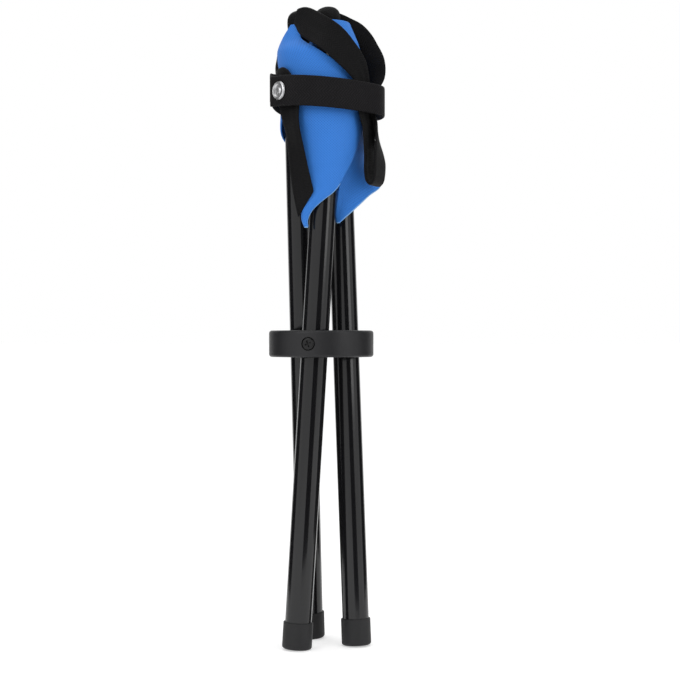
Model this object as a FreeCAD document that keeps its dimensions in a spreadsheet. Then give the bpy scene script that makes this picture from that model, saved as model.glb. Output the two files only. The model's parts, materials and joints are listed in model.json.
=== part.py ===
"""Three-legged folding camping stool: tube legs on a hub ring, a sling seat and a closing strap.

Units are millimetres. Z is up, the floor is z = 0 and the front of the folded stool faces -Y.
The stool is drawn folded and strapped, standing on its three feet.
"""
import FreeCAD, Part
import math
import os
import Sketcher

os.makedirs("parts", exist_ok=True)
doc = FreeCAD.newDocument("stool")
V = FreeCAD.Vector
Z_AXIS = V(0, 0, 1)

DIMS = [
    ("tube_od", 22.0, "outside of the leg tube"),
    ("tube_wall", 1.0, "wall of the leg tube"),
    ("leg_below", 246.0, "tube from pivot down to its lower end"),
    ("leg_above", 240.0, "tube from pivot up to its upper end"),
    ("leg_circle", 21.25, "radius on which the leg axes cross the hub"),
    ("leg_azimuth", -13.6, "first leg, degrees from the front towards the right"),
    ("rest_tilt", 3.2, "lean of a folded leg round the hub"),
    ("leg_splay", 1.2, "outward lean of the feet, drilled into the pivot hole"),
    ("hub_od", 87.0, "outside of the hub ring"),
    ("hub_height", 22.0, "height of the hub ring"),
    ("hub_wall", 4.0, "wall of the ring between the pivot pads"),
    ("hub_gap", 0.6, "tube to pivot pad"),
    ("hub_round", 2.4, "rounding of the outer rims"),
    ("hub_soft", 0.8, "rounding of the inner rims"),
    ("core_wall", 1.8, "wall left round a cored-out pocket"),
    ("core_floor", 4.0, "roof left over a cored-out pocket"),
    ("boss_half", 7.4, "half width of the screw boss"),
    ("core_reach", 15.5, "far side of a cored-out pocket"),
    ("screw_d", 5.0, "pivot screw shank"),
    ("screw_play", 0.1, "radial running play of the pivot"),
    ("screw_past", 0.75, "pivot screw past its nut"),
    ("head_d", 10.0, "pivot screw head"),
    ("head_height", 2.9, "height of the head"),
    ("head_round", 1.2, "rounding of the head"),
    ("head_seat", 2.5, "depth of the head's counterbore"),
    ("head_play", 0.6, "radial room round the head"),
    ("cross_width", 1.3, "arm of the cross recess"),
    ("cross_span", 5.6, "span of the cross recess"),
    ("cross_depth", 1.7, "depth of the cross recess"),
    ("washer_od", 10.0, "washer between tube and nut"),
    ("washer_thick", 1.0, "thickness of the washer"),
    ("nut_flats", 8.0, "lock nut across flats"),
    ("nut_height", 3.6, "hexagon of the lock nut"),
    ("nut_collar", 1.5, "collar of the lock nut"),
    ("stack_gap", 0.3, "play between tube, washer and nut"),
    ("thread_gap", 0.03, "nut and washer bore over the screw"),
    ("foot_wall", 1.25, "rubber round the tube"),
    ("foot_base", 4.0, "rubber under the tube"),
    ("foot_height", 22.0, "height of the foot cap"),
    ("foot_round", 2.2, "rounding of the sole"),
    ("foot_dish", 1.0, "depth of the hollow in the sole"),
    ("fit_gap", 0.05, "caps and plugs on the tube"),
    ("plug_dome", 3.5, "dome of the top plug"),
    ("plug_stem", 16.0, "stem of the top plug"),
    ("plug_wall", 2.0, "wall of the stem"),
    ("tip_gap", 0.4, "seat corner over the leg end"),
    ("tip_thick", 1.8, "bound corner of the seat"),
    ("tip_length", 6.0, "bound corner along the leg"),
    ("cloth_rise", 32.0, "folded seat corners above the leg ends"),
    ("cloth_thick", 1.6, "seat cloth with its hem"),
    ("cloth_gap", 1.2, "leg tubes to the cloth round them"),
    ("layer_gap", 0.9, "between two layers of cloth"),
    ("panel_thick", 5.0, "folded seat panel between the legs"),
    ("panel_gap", 0.7, "panel wings to the flaps"),
    ("panel_top", 20.0, "panel below the seat corners"),
    ("panel_drop", 150.0, "length of the folded panel"),
    ("tape_width", 25.0, "binding tape of the seat edges"),
    ("tape_thick", 2.0, "binding tape, folded over the edge"),
    ("strap_width", 25.0, "closing strap"),
    ("strap_thick", 1.6, "thickness of the closing strap"),
    ("strap_drop", 65.0, "strap below the seat corners, left side"),
    ("strap_fall", 6.0, "strap lower on the right side"),
    ("strap_ease", 0.25, "room under the closing strap"),
    ("snap_d", 15.0, "snap fastener cap"),
    ("snap_height", 2.0, "height of the snap cap"),
    ("snap_bore", 6.4, "socket opening"),
    ("snap_stud", 5.8, "stud in the socket"),
    ("snap_gap", 0.4, "snap pieces off the strap"),
    ("snap_room", 3.6, "strap layers apart at the snap"),
    ("hub_x", -5.02, "hub axis from the middle of the part"),
    ("hub_y", -3.98, "hub axis from the middle of the part"),
]

dims = doc.addObject("Spreadsheet::Sheet", "dims")
for row, (alias, number, note) in enumerate(DIMS, start=1):
    dims.set("A%d" % row, note)
    dims.set("B%d" % row, str(number))
    dims.setAlias("B%d" % row, alias)
doc.recompute()


def size(expression):
    """Value of an expression over the sheet."""
    found = dims.evalExpression(expression)
    return float(getattr(found, "Value", found))


def new_body(label):
    body = doc.addObject("PartDesign::Body", label)
    body.Label = label
    return body


def new_sketch(body, name, role, lift=None):
    """Sketch on one of the body's own planes, lifted along its normal."""
    sketch = body.newObject("Sketcher::SketchObject", name)
    plane = [f for f in body.Origin.OriginFeatures if f.Role == role][0]
    sketch.AttachmentSupport = [(plane, "")]
    sketch.MapMode = "FlatFace"
    if lift:
        sketch.setExpression("AttachmentOffset.Base.z", lift)
        doc.recompute()
    return sketch


def pin(sketch, geo, vertex, x, y):
    """Tie one point of a sketch to expressions for its two coordinates."""
    if x == "0":
        sketch.addConstraint(Sketcher.Constraint("PointOnObject", geo, vertex, -2))
    else:
        k = sketch.addConstraint(Sketcher.Constraint("DistanceX", -1, 1, geo, vertex, size(x)))
        sketch.setExpression("Constraints[%d]" % k, x)
    if y == "0":
        sketch.addConstraint(Sketcher.Constraint("PointOnObject", geo, vertex, -1))
    else:
        k = sketch.addConstraint(Sketcher.Constraint("DistanceY", -1, 1, geo, vertex, size(y)))
        sketch.setExpression("Constraints[%d]" % k, y)


def draw_polygon(sketch, points):
    """Closed outline whose corners are pairs of expressions."""
    spots = [V(size(x), size(y), 0) for x, y in points]
    count = len(points)
    base = sketch.GeometryCount
    for k in range(count):
        sketch.addGeometry(Part.LineSegment(spots[k], spots[(k + 1) % count]), False)
    for k in range(count):
        sketch.addConstraint(Sketcher.Constraint("Coincident", base + k, 2, base + (k + 1) % count, 1))
    for k, (x, y) in enumerate(points):
        pin(sketch, base + k, 1, x, y)


def draw_circle(sketch, radius, x="0", y="0"):
    geo = sketch.addGeometry(Part.Circle(V(size(x), size(y), 0), Z_AXIS, size(radius)), False)
    k = sketch.addConstraint(Sketcher.Constraint("Radius", geo, size(radius)))
    sketch.setExpression("Constraints[%d]" % k, radius)
    if x == "0" and y == "0":
        sketch.addConstraint(Sketcher.Constraint("Coincident", geo, 3, -1, 1))
    else:
        pin(sketch, geo, 3, x, y)


def pad(body, name, sketch, length, reverse=False):
    feature = body.newObject("PartDesign::Pad", name)
    feature.Profile = sketch
    feature.Reversed = reverse
    feature.setExpression("Length", length)
    doc.recompute()
    return feature


def pocket(body, name, sketch, length, reverse=False):
    before = body.Shape.Volume
    feature = body.newObject("PartDesign::Pocket", name)
    feature.Profile = sketch
    feature.Reversed = reverse
    feature.setExpression("Length", length)
    doc.recompute()
    if body.Shape.Volume > before - 1e-3:
        raise ValueError("pocket %s cuts nothing" % name)
    return feature


def turn(body, name, sketch):
    feature = body.newObject("PartDesign::Revolution", name)
    feature.Profile = sketch
    feature.ReferenceAxis = (sketch, ["V_Axis"])
    feature.Angle = 360
    doc.recompute()
    return feature


def around(body, name, features, sketch, count=3):
    """Repeat features round the body's own Z axis."""
    pattern = body.newObject("PartDesign::PolarPattern", name)
    pattern.Originals = features
    pattern.Axis = (sketch, ["N_Axis"])
    pattern.Angle = 360
    pattern.Occurrences = count
    body.Tip = pattern
    doc.recompute()
    return pattern


def round_edges(body, name, feature, radius, wanted):
    """Fillet the edges of a feature that a test picks out."""
    picked = ["Edge%d" % k for k, edge in enumerate(feature.Shape.Edges, start=1) if wanted(edge)]
    fillet = body.newObject("PartDesign::Fillet", name)
    fillet.Base = (feature, picked)
    fillet.setExpression("Radius", radius)
    doc.recompute()
    return fillet


def is_circle(edge, radius):
    curve = edge.Curve
    return isinstance(curve, Part.Circle) and abs(curve.Radius - radius) < 1e-4


TILT = math.radians(size("dims.rest_tilt"))
SPLAY = math.radians(size("dims.leg_splay"))
LEAN = math.acos(math.cos(TILT) * math.cos(SPLAY))
TUBE_R = size("dims.tube_od / 2")
LEG_CIRCLE = size("dims.leg_circle")
LEG_ABOVE = size("dims.leg_above")
CLOTH_TOP = size("dims.leg_above + dims.cloth_rise")
CLOTH = size("dims.cloth_thick")
LAYER = size("dims.layer_gap")

# The soles' rounded rims carry the stool: the hub stands this far above the floor.
SOLE_R = TUBE_R + size("dims.foot_wall")
SOLE_ROUND = size("dims.foot_round")
SOLE_REACH = size("dims.leg_below + dims.foot_base")
HUB_Z = (SOLE_REACH - SOLE_ROUND) * math.cos(LEAN) + (SOLE_R - SOLE_ROUND) * math.sin(LEAN) + SOLE_ROUND
HUB = V(size("dims.hub_x"), size("dims.hub_y"), HUB_Z)
LEGS = ("a", "b", "c")


def azimuth(index):
    return size("dims.leg_azimuth") + 120.0 * index


def hub_place(index):
    """Frame at the hub whose X points out along a leg's pivot screw."""
    return FreeCAD.Placement(HUB, FreeCAD.Rotation(Z_AXIS, azimuth(index) - 90.0))


def leg_place(index):
    """Frame of a folded leg: Z along the tube, origin on the pivot."""
    shift = FreeCAD.Placement(V(LEG_CIRCLE, 0, 0), FreeCAD.Rotation())
    lean = FreeCAD.Placement(V(), FreeCAD.Rotation(V(1, 0, 0), -math.degrees(TILT)))
    splay = FreeCAD.Placement(V(), FreeCAD.Rotation(V(0, 1, 0), -math.degrees(SPLAY)))
    return hub_place(index) * shift * lean * splay


def build_hub():
    """Moulded ring with three flat pivot pads, cored out from below."""
    body = new_body("hub_ring")
    low = "-dims.hub_height / 2"
    rim = new_sketch(body, "ring_outline", "XY_Plane", low)
    draw_circle(rim, "dims.hub_od / 2")
    draw_circle(rim, "dims.hub_od / 2 - dims.hub_wall")
    ring = pad(body, "ring", rim, "dims.hub_height")
    outer = size("dims.hub_od / 2")
    soft = round_edges(body, "outer_rims", ring, "dims.hub_round", lambda e: is_circle(e, outer))
    inner = size("dims.hub_od / 2 - dims.hub_wall")
    round_edges(body, "inner_rims", soft, "dims.hub_soft", lambda e: is_circle(e, inner))

    face = "(dims.leg_circle + dims.tube_od / 2 + dims.hub_gap)"
    middle = "(dims.hub_od / 2 - dims.hub_wall / 2)"
    chord = new_sketch(body, "pad_outline", "XY_Plane", low + " + dims.hub_soft")
    radius = size(middle)
    half = math.acos(size(face) / radius)
    arc = Part.ArcOfCircle(Part.Circle(V(), Z_AXIS, radius), -half, half)
    chord.addGeometry(arc, False)
    top = V(radius * math.cos(half), radius * math.sin(half), 0)
    chord.addGeometry(Part.LineSegment(top, V(top.x, -top.y, 0)), False)
    chord.addConstraint(Sketcher.Constraint("Coincident", 0, 3, -1, 1))
    chord.addConstraint(Sketcher.Constraint("Coincident", 0, 2, 1, 1))
    chord.addConstraint(Sketcher.Constraint("Coincident", 1, 2, 0, 1))
    chord.addConstraint(Sketcher.Constraint("Vertical", 1))
    k = chord.addConstraint(Sketcher.Constraint("Radius", 0, radius))
    chord.setExpression("Constraints[%d]" % k, middle)
    k = chord.addConstraint(Sketcher.Constraint("DistanceX", -1, 1, 1, 1, top.x))
    chord.setExpression("Constraints[%d]" % k, face)
    flat = pad(body, "pivot_pad", chord, "dims.hub_height - 2 * dims.hub_soft")
    around(body, "pivot_pads", [flat], rim)

    bore = new_sketch(body, "screw_bore_outline", "YZ_Plane")
    draw_circle(bore, "dims.screw_d / 2 + dims.screw_play")
    hole = pocket(body, "screw_bore", bore, "dims.hub_od", True)
    seat = new_sketch(body, "head_seat_outline", "YZ_Plane", "dims.hub_od / 2 - dims.head_seat")
    draw_circle(seat, "dims.head_d / 2 + dims.head_play")
    sink = pocket(body, "head_seat", seat, "dims.head_seat + 2", True)
    near = face[:-1] + " + dims.core_wall)"
    wall = "(dims.hub_od / 2 - dims.hub_wall)"
    far_a = "sqrt(%s ^ 2 - dims.boss_half ^ 2)" % wall
    far_b = "sqrt(%s ^ 2 - dims.core_reach ^ 2)" % wall
    cores = [hole, sink]
    for name, sign in (("core_left", ""), ("core_right", "-")):
        core = new_sketch(body, name + "_outline", "XY_Plane", low)
        draw_polygon(core, [
            (near, sign + "dims.boss_half"),
            (far_a, sign + "dims.boss_half"),
            (far_b, sign + "dims.core_reach"),
            (near, sign + "dims.core_reach"),
        ])
        cores.append(pocket(body, name, core, "dims.hub_height - dims.core_floor", True))
    around(body, "pivot_cuts", cores, rim)
    body.Placement = hub_place(0)
    return body


def build_tube(index):
    """Leg tube, cross-drilled at the pivot along the screw."""
    body = new_body("leg_tube_" + LEGS[index])
    outline = new_sketch(body, "tube_outline", "XY_Plane", "-dims.leg_below")
    draw_circle(outline, "dims.tube_od / 2")
    draw_circle(outline, "dims.tube_od / 2 - dims.tube_wall")
    pad(body, "tube", outline, "dims.leg_below + dims.leg_above")
    hole = body.newObject("PartDesign::SubtractiveCylinder", "pivot_hole")
    hole.setExpression("Radius", "dims.screw_d / 2 + dims.screw_play")
    hole.setExpression("Height", "2 * dims.tube_od")
    drilled = FreeCAD.Rotation(V(0, 1, 0), 90.0 + math.degrees(SPLAY))
    hole.Placement = FreeCAD.Placement(drilled.multVec(V(0, 0, -2 * TUBE_R)), drilled)
    doc.recompute()
    body.Placement = leg_place(index)
    return body


def build_foot(index):
    """Rubber cap with a rounded sole and a shallow hollow under it."""
    body = new_body("foot_cap_" + LEGS[index])
    profile = new_sketch(body, "foot_profile", "XZ_Plane")
    outside = "(dims.tube_od / 2 + dims.foot_wall)"
    inside = "(dims.tube_od / 2 + dims.fit_gap)"
    sole = "(-dims.leg_below - dims.foot_base)"
    seat = "(-dims.leg_below - dims.fit_gap)"
    rim = "(-dims.leg_below - dims.foot_base + dims.foot_height)"
    draw_polygon(profile, [
        ("0", sole + " + dims.foot_dish"),
        (outside + " * 0.42", sole + " + dims.foot_dish"),
        (outside + " * 0.5", sole),
        (outside, sole),
        (outside, rim + " - dims.foot_wall * 0.4"),
        (outside + " - dims.foot_wall * 0.4", rim),
        (inside, rim),
        (inside, seat),
        ("0", seat),
    ])
    cap = turn(body, "foot", profile)
    edge_r = size(outside)
    edge_z = size(sole)
    round_edges(body, "sole_rim", cap, "dims.foot_round",
                lambda e: is_circle(e, edge_r) and abs(e.Curve.Center.z - edge_z) < 1e-4)
    body.Placement = leg_place(index)
    return body


def build_plug(index):
    """Moulded plug with a domed head and a hollow stem."""
    body = new_body("top_plug_" + LEGS[index])
    profile = new_sketch(body, "plug_profile", "XZ_Plane")
    head = "(dims.tube_od / 2)"
    stem = "(dims.tube_od / 2 - dims.tube_wall - dims.fit_gap)"
    seat = "(dims.leg_above + dims.fit_gap)"
    draw_polygon(profile, [
        ("0", seat + " + dims.plug_dome"),
        (head + " * 0.55", seat + " + dims.plug_dome * 0.9"),
        (head + " * 0.88", seat + " + dims.plug_dome * 0.55"),
        (head, seat + " + dims.plug_dome * 0.2"),
        (head, seat),
        (stem, seat),
        (stem, seat + " - dims.plug_stem + 1"),
        (stem + " - 1", seat + " - dims.plug_stem"),
        (stem + " - dims.plug_wall", seat + " - dims.plug_stem"),
        (stem + " - dims.plug_wall", seat),
        ("0", seat),
    ])
    turn(body, "plug", profile)
    body.Placement = leg_place(index)
    return body


def build_screw(index):
    """Pan-head pivot screw with a cross recess."""
    body = new_body("pivot_screw_" + LEGS[index])
    profile = new_sketch(body, "screw_profile", "XZ_Plane")
    shank = "(dims.screw_d / 2)"
    nut_end = "dims.leg_circle - dims.tube_od / 2 - dims.stack_gap * 4 / 3 - dims.washer_thick"
    nut_end += " - dims.nut_height - dims.nut_collar"
    point = "(" + nut_end + " - dims.screw_past - dims.hub_od / 2 + dims.head_seat)"
    draw_polygon(profile, [
        ("0", "dims.head_height"),
        ("dims.head_d / 2", "dims.head_height"),
        ("dims.head_d / 2", "0"),
        (shank, "0"),
        (shank, point + " + 0.8"),
        (shank + " - 0.8", point),
        ("0", point),
    ])
    blank = turn(body, "screw", profile)
    head_r = size("dims.head_d / 2")
    head_z = size("dims.head_height")
    round_edges(body, "head_edge", blank, "dims.head_round",
                lambda e: is_circle(e, head_r) and abs(e.Curve.Center.z - head_z) < 1e-4)
    recess = new_sketch(body, "recess_outline", "XY_Plane", "dims.head_height")
    arm = "dims.cross_width / 2"
    end = "dims.cross_span / 2"
    draw_polygon(recess, [
        (arm, arm), (end, arm), (end, "-" + arm), (arm, "-" + arm),
        (arm, "-" + end), ("-" + arm, "-" + end), ("-" + arm, "-" + arm), ("-" + end, "-" + arm),
        ("-" + end, arm), ("-" + arm, arm), ("-" + arm, end), (arm, end),
    ])
    pocket(body, "recess", recess, "dims.cross_depth")
    along = FreeCAD.Rotation(Z_AXIS, V(1, 0, 0))
    spin = FreeCAD.Rotation(Z_AXIS, 20.0 + 25.0 * index)
    under = FreeCAD.Placement(V(size("dims.hub_od / 2 - dims.head_seat"), 0, 0), along * spin)
    body.Placement = hub_place(index) * under
    return body


NUT_SIDE = size("dims.leg_circle - dims.tube_od / 2 - dims.stack_gap")


def build_washer(index):
    body = new_body("pivot_washer_" + LEGS[index])
    outline = new_sketch(body, "washer_outline", "XY_Plane")
    draw_circle(outline, "dims.washer_od / 2")
    draw_circle(outline, "dims.screw_d / 2 + dims.thread_gap")
    pad(body, "washer", outline, "dims.washer_thick")
    along = FreeCAD.Rotation(Z_AXIS, V(-1, 0, 0))
    body.Placement = hub_place(index) * FreeCAD.Placement(V(NUT_SIDE, 0, 0), along)
    return body


def build_nut(index):
    """Lock nut: hexagon with a round collar."""
    body = new_body("lock_nut_" + LEGS[index])
    outline = new_sketch(body, "hexagon_outline", "XY_Plane")
    side = "dims.nut_flats / sqrt(3)"
    draw_polygon(outline, [
        (side, "0"), (side + " / 2", "dims.nut_flats / 2"),
        ("-" + side + " / 2", "dims.nut_flats / 2"), ("-" + side, "0"),
        ("-" + side + " / 2", "-dims.nut_flats / 2"), (side + " / 2", "-dims.nut_flats / 2"),
    ])
    draw_circle(outline, "dims.screw_d / 2 + dims.thread_gap")
    pad(body, "hexagon", outline, "dims.nut_height")
    ring = new_sketch(body, "collar_outline", "XY_Plane", "dims.nut_height")
    draw_circle(ring, "dims.nut_flats / 2 - 0.3")
    draw_circle(ring, "dims.screw_d / 2 + dims.thread_gap")
    pad(body, "collar", ring, "dims.nut_collar")
    along = FreeCAD.Rotation(Z_AXIS, V(-1, 0, 0))
    start = NUT_SIDE - size("dims.washer_thick + dims.stack_gap / 3")
    body.Placement = hub_place(index) * FreeCAD.Placement(V(start, 0, 0), along)
    return body


def leg_axis(index, height):
    """Point of a folded leg's axis at a height over the hub, seen from the hub."""
    frame = leg_place(index)
    base = frame.Base - HUB
    lead = frame.Rotation.multVec(Z_AXIS)
    return base + lead * (height / lead.z)


def around_hub(angle, radius, height):
    """Point by its angle from the front towards the right, radius and height over the hub."""
    a = math.radians(angle)
    return V(radius * math.sin(a), -radius * math.cos(a), height)


def wrap(height):
    """Inner radius of the cloth that lies round the three tubes."""
    spot = leg_axis(0, height)
    return math.hypot(spot.x, spot.y) + TUBE_R + size("dims.cloth_gap")


def add_soft(label, shape):
    """Put a soft part, drawn from the hub, into the document."""
    if shape.Volume < 0:
        shape.reverse()
    part = doc.addObject("Part::Feature", label)
    part.Label = label
    part.Shape = shape
    part.Placement = FreeCAD.Placement(HUB, FreeCAD.Rotation())
    return part


def tip_axis(index, height):
    """Middle of a seat corner: on the leg, and leaning to its neighbours above the leg's end."""
    rise = min(max((height - LEG_ABOVE - 3.0) / 23.0, 0.0), 1.0)
    share = rise * rise * (3 - 2 * rise)
    return leg_axis(index, height) + V(TIP_LEAN[index][0] * share, TIP_LEAN[index][1] * share, 0)


def build_tip(index):
    """Bound corner of the seat: a sleeve on the leg's end that closes in a hump of folded cloth."""
    outside = TUBE_R + size("dims.tip_gap + dims.tip_thick")
    thick = size("dims.tip_thick")
    grow = size("dims.cloth_rise") / 32.0
    hem = LEG_ABOVE + size("dims.plug_dome - dims.tip_length")
    skin = [(outside, hem)] + [(outside * share, LEG_ABOVE + rise * grow) for share, rise in TIP_ROWS]
    core = [(radius - thick, height) for radius, height in skin[:-2]]
    core = [(core[0][0], hem - 1.0)] + core + [(core[-1][0] * 0.6, core[-1][1] + 0.9 * grow)]
    solids = []
    for rows in (skin, core):
        rings = []
        for radius, height in rows:
            circle = Part.Circle(tip_axis(index, height), Z_AXIS, radius)
            rings.append(Part.Wire([circle.toShape()]))
        solids.append(Part.makeLoft(rings, True, True))
    return add_soft("corner_tip_" + LEGS[index], solids[0].cut(solids[1]))


def build_flap(index, rows):
    """Pocket flap of one seat corner: rows of (drop, pull to the leg, left and right angle, swells)."""
    wires = []
    tip = TUBE_R + size("dims.tip_gap + dims.tip_thick") + LAYER
    for drop, pull, left, right, swell_left, swell_right in rows:
        height = CLOTH_TOP - drop
        leg = tip_axis(index, height)
        centre = V(leg.x * pull, leg.y * pull, 0)
        inner = (1 - pull) * wrap(height) + pull * tip
        turns = (left, (left + right) / 2, right)
        swells = (swell_left, swell_left + (swell_right - swell_left) / 4, swell_right)
        near = [centre + around_hub(a, inner + s, height) for a, s in zip(turns, swells)]
        far = [centre + around_hub(a, inner + s + CLOTH, height) for a, s in zip(turns, swells)]
        wires.append(Part.Wire([
            Part.Arc(far[0], far[1], far[2]).toShape(),
            Part.LineSegment(far[2], near[2]).toShape(),
            Part.Arc(near[2], near[1], near[0]).toShape(),
            Part.LineSegment(near[0], far[0]).toShape(),
        ]))
    return add_soft("pocket_flap_" + LEGS[index], Part.makeLoft(wires, True, False))


def smooth(rows, steps):
    """Rows of numbers with extra rows between them on a curve through all of them."""
    finer = []
    for k in range(len(rows) - 1):
        before, start, stop = rows[max(k - 1, 0)], rows[k], rows[k + 1]
        after = rows[min(k + 2, len(rows) - 1)]
        for step in range(steps):
            s = step / steps
            finer.append([
                b + 0.5 * s * (c - a + s * (2 * a - 5 * b + 4 * c - d + s * (3 * (b - c) + d - a)))
                for a, b, c, d in zip(before, start, stop, after)])
    return finer + [list(rows[-1])]


def ribbon(path, width, thick):
    """Flat band along rows of (angle, radius, height, width share, pitch and yaw of the face)."""
    path = smooth(path, 3)
    spots = [around_hub(row[0], row[1], row[2]) for row in path]
    rings = []
    for k, row in enumerate(path):
        ahead = spots[min(k + 1, len(spots) - 1)] - spots[max(k - 1, 0)]
        ahead.normalize()
        out = V(spots[k].x, spots[k].y, 0).normalize()
        pitch, yaw = math.radians(row[4]), math.radians(row[5])
        level = out * math.cos(yaw) + Z_AXIS.cross(out) * math.sin(yaw)
        across = ahead.cross(level * math.cos(pitch) + Z_AXIS * math.sin(pitch)).normalize()
        depth = ahead.cross(across) * (thick / 2)
        across = across * (width * row[3] / 2)
        rings.append([spots[k] + across + depth, spots[k] - across + depth,
                      spots[k] - across - depth, spots[k] + across - depth])
    faces = [Part.Face(Part.makePolygon(ring + ring[:1])) for ring in (rings[0], rings[-1])]
    for here, there in zip(rings, rings[1:]):
        for a in range(4):
            b = (a + 1) % 4
            start, stop = Part.makeLine(here[a], here[b]), Part.makeLine(there[a], there[b])
            faces.append(Part.makeRuledSurface(start, stop, 1))
    skin = Part.makeShell(faces)
    skin.sewShape()
    return Part.makeSolid(skin)


def build_tape(name, rows):
    """Binding tape of one seat edge: rows of (angle, drop, stand-off, width share, pitch, yaw)."""
    thick = size("dims.tape_thick")
    path = []
    for angle, drop, off, share, pitch, yaw in rows:
        height = CLOTH_TOP - drop
        radius = wrap(height) + CLOTH + LAYER + thick / 2 + off
        path.append((angle, radius, height, share, pitch, yaw))
    return add_soft("edge_tape_" + name, ribbon(path, size("dims.tape_width"), thick))


SNAP_ANGLE = -48.0


def strap_height(angle):
    """Middle of the strap, which hangs lower on the right."""
    share = 0.5 + 0.5 * math.sin(math.radians(angle))
    return CLOTH_TOP - size("dims.strap_drop") - share * size("dims.strap_fall")


def strap_base():
    """Middle of the strap's rear run where it lies on the bound edge."""
    stack = CLOTH + 2 * LAYER + size("dims.tape_thick + dims.strap_ease + dims.strap_thick / 2")
    return wrap(CLOTH_TOP - size("dims.strap_drop")) + stack


def build_strap(name, rows):
    """One run of the closing strap: rows of (angle, stand-off from the rear run)."""
    path = [(a, strap_base() + off, strap_height(a), 1.0, 0.0, 0.0) for a, off in rows]
    return add_soft("strap_" + name, ribbon(path, size("dims.strap_width"), size("dims.strap_thick")))


def flat_run(turn_by, off):
    """Stand-off that keeps the strap straight on both sides of the snap."""
    return (strap_base() + off) / math.cos(math.radians(turn_by)) - strap_base()


def build_snap(label, points, lift):
    """Turned piece of the snap, its axis square to the strap; lift is from the rear run's middle."""
    body = new_body(label)
    profile = new_sketch(body, label + "_profile", "XZ_Plane")
    draw_polygon(profile, points)
    turn(body, label + "_turned", profile)
    out = around_hub(SNAP_ANGLE, 1.0, 0)
    spot = HUB + around_hub(SNAP_ANGLE, strap_base() + size(lift), strap_height(SNAP_ANGLE))
    body.Placement = FreeCAD.Placement(spot, FreeCAD.Rotation(Z_AXIS, out))
    return body


def build_snaps():
    half = "dims.strap_thick / 2"
    outer = half + " + dims.snap_room + dims.strap_thick + dims.snap_gap"
    rim = "dims.snap_d / 2"
    tall = "dims.snap_height"
    cap = build_snap("snap_cap", [
        ("0", tall + " * 0.75"), (rim + " * 0.22", tall + " * 0.7"), (rim + " * 0.36", tall + " * 0.35"),
        (rim + " * 0.62", tall + " * 0.35"), (rim + " * 0.72", tall + " * 0.9"), (rim + " * 0.84", tall),
        (rim + " * 0.95", tall + " * 0.75"), (rim, tall + " * 0.25"), (rim + " * 0.97", "0"), ("0", "0"),
    ], outer)
    bore = "dims.snap_bore / 2"
    deep = "dims.snap_room - dims.snap_gap"
    socket = build_snap("snap_socket", [
        (bore, deep), (rim + " * 0.7", deep), (rim + " * 0.8", deep + " - 0.5"), (rim + " * 0.8", "1.4"),
        (rim + " * 0.68", "0.9"), (bore + " + 0.3", "0.9"), (bore, "1.2"),
    ], half)
    stud = "dims.snap_stud / 2"
    knob = build_snap("snap_stud", [
        ("0", deep + " - 0.4"), (stud + " - 0.5", deep + " - 0.4"), (stud, deep + " - 0.9"),
        (stud, deep + " - 1.3"), (stud + " - 0.3", "0.6"), (rim + " * 0.8", "0.6"),
        (rim + " * 0.8", "dims.snap_gap"), ("0", "dims.snap_gap"),
    ], half)
    post = build_snap("snap_post", [
        ("0", "-dims.snap_gap"), (rim + " * 0.6", "-dims.snap_gap"),
        (rim + " * 0.5", "-0.5"), ("0", "-0.5"),
    ], "-" + half)
    return [cap, socket, knob, post]


def build_panel():
    """Seat panel folded into three wings between the legs, whose edges meet the flaps."""
    wires = []
    for share, reach in PANEL_ROWS:
        height = CLOTH_TOP - size("dims.panel_top") - share * size("dims.panel_drop")
        thick = size("dims.panel_thick") * (0.5 - 0.15 * share)
        room = reach * (wrap(height) - size("dims.panel_gap"))
        spot = leg_axis(0, height)
        turn_by = math.degrees(math.atan2(spot.x, -spot.y)) + 60.0
        ring = []
        for wing in range(3):
            lead = turn_by + 120.0 * wing
            tip = around_hub(lead, math.sqrt(room ** 2 - thick ** 2), height)
            side = around_hub(lead + 90.0, thick, 0)
            notch = around_hub(lead + 60.0, thick * 2.2, height)
            ring += [tip - side, tip + side, notch]
        wires.append(Part.makePolygon(ring + ring[:1]))
    return add_soft("seat_panel", Part.makeLoft(wires, True, True))


# Panel rows: share of the panel's drop, reach of its wings as a share of the room inside the flaps.
PANEL_ROWS = [(0, 0.46), (0.22, 1), (0.4, 1), (0.6, 0.74), (0.8, 0.55), (1, 0.45)]

# Seat corners: how far each leans over the leg's end, and its profile as (share of its radius, rise).
TIP_LEAN = [(-5.5, 2.0), (-3.0, -5.0), (4.4, -1.2)]
TIP_ROWS = [(1, 1.5), (0.92, 5.5), (0.75, 9.5), (0.68, 13.5), (0.7, 18), (0.79, 22.5), (0.826, 26), (0.81, 30),
            (0.71, 33.4), (0.515, 35.8), (0.26, 36.9)]

# Flap rows: drop from the seat corners, pull towards the leg, left and right angle, left and right swell.
FLAP_TOP = [(8.5, 1, -24, 84, -1.4, -1.4), (21, 0.75, -22, 86, -1.2, 0), (30, 0.35, -18, 92, 1.4, 4.5),
            (38, 0.15, -4, 106, 1.5, 3.5), (50, 0, 15, 131, 0, 0)]
FLAP_TOP_SHORT = [(8, 0.8, -20, 62, 0, 0), (20, 0.5, -20, 52, 0, 0), (30, 0.3, -18, 44, 1.8, 1.8),
                  (50, 0, 15, 100, 0, 0)]
FLAP_SIDE = [(60, 0, 31, 113, 0, 0), (70, 0, 47, 127, 0, 0), (79, 0, 58, 140, 0, 0), (98, 0, 42, 118, -1, 1), (112, 0, 27, 96, -4, 4), (127, 0, 18, 74, -8, 11),
             (139, 0, 14, 65, -11, 17), (149, 0, 12, 50, -12.5, 7), (157, 0, 11, 38, -13.5, 1), (165, 0, 11, 25, -14, -5),
             (172, 0, 12.5, 15.5, -14, -12)]
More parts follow.
